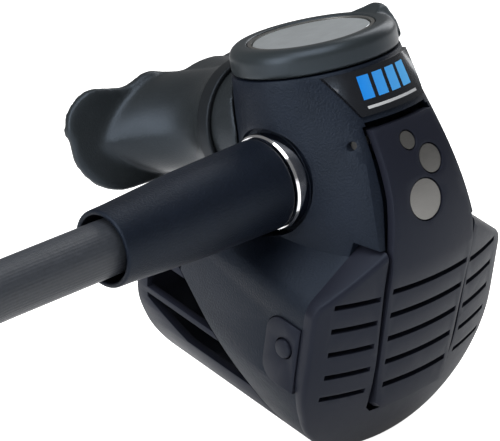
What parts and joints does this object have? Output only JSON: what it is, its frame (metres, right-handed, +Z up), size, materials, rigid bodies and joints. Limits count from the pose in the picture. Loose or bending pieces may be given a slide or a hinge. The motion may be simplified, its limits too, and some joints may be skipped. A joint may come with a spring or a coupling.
{
  "type": "scuba second stage regulator",
  "caption": "Diver's demand regulator with a purge panel, adjustment knob, mouthpiece, exhaust deflector and a coiled low-pressure hose.",
  "frame": {"origin": "on the floor, under the middle of the regulator's own box (the hose and its coil left out); the knob's axis stands at X 18.8 mm, Y -17.2 mm", "axes": "+Z up along the adjustment knob's axis, +Y towards the diver along the outlet, -X along the inlet and its hose"},
  "size_m": [0.3776, 0.1526, 0.0998],
  "materials": {
    "case_plastic": "fine sparked texture, near black",
    "cover_plastic": "satin moulded, near black",
    "gloss_black": "polished, black",
    "soft_rubber": "smooth silicone, black",
    "hose_rubber": "extruded rubber, dark grey",
    "clear_silicone": "translucent silicone",
    "chrome": "polished chromed brass",
    "satin_metal": "satin brushed",
    "spring_steel": "drawn wire",
    "brass": "turned",
    "seal_rubber": "moulded seal, black"
  },
  "bodies": {
    "root": {"main_case": "case_plastic", "front_cover": "cover_plastic", "exhaust_deflector": "case_plastic", "badge_plate": "gloss_black", "latch_plate": "case_plastic", "purge_hinge_pin": "satin_metal", "purge_spring": "spring_steel", "button_spring": "spring_steel", "valve_barrel": "brass", "orifice_seat": "brass", "valve_spring": "spring_steel", "balance_plug": "brass", "balance_oring": "seal_rubber", "knob_oring": "seal_rubber", "diaphragm": "clear_silicone", "diaphragm_ring": "cover_plastic", "mouthpiece": "soft_rubber", "mouthpiece_clamp": "soft_rubber", "inlet_collar": "chrome", "inlet_tube": "chrome", "inlet_oring": "seal_rubber", "swivel_nut": "chrome", "hose_sleeve": "case_plastic", "hose_ferrule": "chrome", "side_plug": "case_plastic", "side_plug_oring": "seal_rubber", "hose_tube": "hose_rubber", "hose_coil": "hose_rubber", "end_ferrule": "chrome", "first_stage_fitting": "chrome", "fitting_oring": "seal_rubber"},
    "knob": {"knob_bezel": "cover_plastic", "knob_ring": "satin_metal", "knob_disc": "satin_metal", "air_vane": "cover_plastic", "knob_screw": "satin_metal"},
    "purge": {"purge_panel": "cover_plastic", "panel_emblem": "satin_metal"},
    "plate": {"diaphragm_plate": "satin_metal"},
    "lever": {"demand_lever": "satin_metal"},
    "poppet_set": {"poppet": "brass", "seat_seal": "seal_rubber", "poppet_locknut": "brass"},
    "exhaust": {"exhaust_valve": "clear_silicone"},
    "button": {"release_button": "case_plastic"}
  },
  "joints": [
    {"name": "knob_turn", "type": "hinge", "parent": "root", "child": "knob", "pos_m": [0.0188, -0.0172, 0.0917], "axis": [0, 0, 1], "range_deg": [0, 60]},
    {"name": "purge_press", "type": "hinge", "parent": "root", "child": "purge", "pos_m": [0.0188, -0.0384, 0.0756], "axis": [1, 0, 0], "range_deg": [0, 4], "stiffness_Nm_per_rad": 0.8, "springref_deg": -3.44, "deforming": ["diaphragm", "purge_spring", "valve_spring"]},
    {"name": "diaphragm_stroke", "type": "slide", "parent": "root", "child": "plate", "axis": [0, 0.9063, 0.4226], "range_m": [0, 0.0036]},
    {"name": "lever_tilt", "type": "hinge", "parent": "root", "child": "lever", "pos_m": [0.0188, -0.0172, 0.0471], "axis": [1, 0, 0], "range_deg": [0, 11.2]},
    {"name": "poppet_lift", "type": "slide", "parent": "root", "child": "poppet_set", "axis": [0, 0, -1], "range_m": [0, 0.0009]},
    {"name": "exhaust_valve_lift", "type": "slide", "parent": "root", "child": "exhaust", "axis": [0, 0.9063, -0.4226], "range_m": [0, 0.0012], "stiffness_N_per_m": 40, "springref_m": -0.001},
    {"name": "latch_button_press", "type": "slide", "parent": "root", "child": "button", "axis": [1, 0, 0], "range_m": [0, 0.0012], "stiffness_N_per_m": 400, "springref_m": -0.0006, "deforming": ["button_spring"]}
  ],
  "couplings": [
    {"joint": "diaphragm_stroke", "follows": "purge_press", "m_per_rad": 0.0469},
    {"joint": "lever_tilt", "follows": "purge_press", "ratio": 2.6},
    {"joint": "poppet_lift", "follows": "purge_press", "m_per_rad": 0.0115}
  ]
}
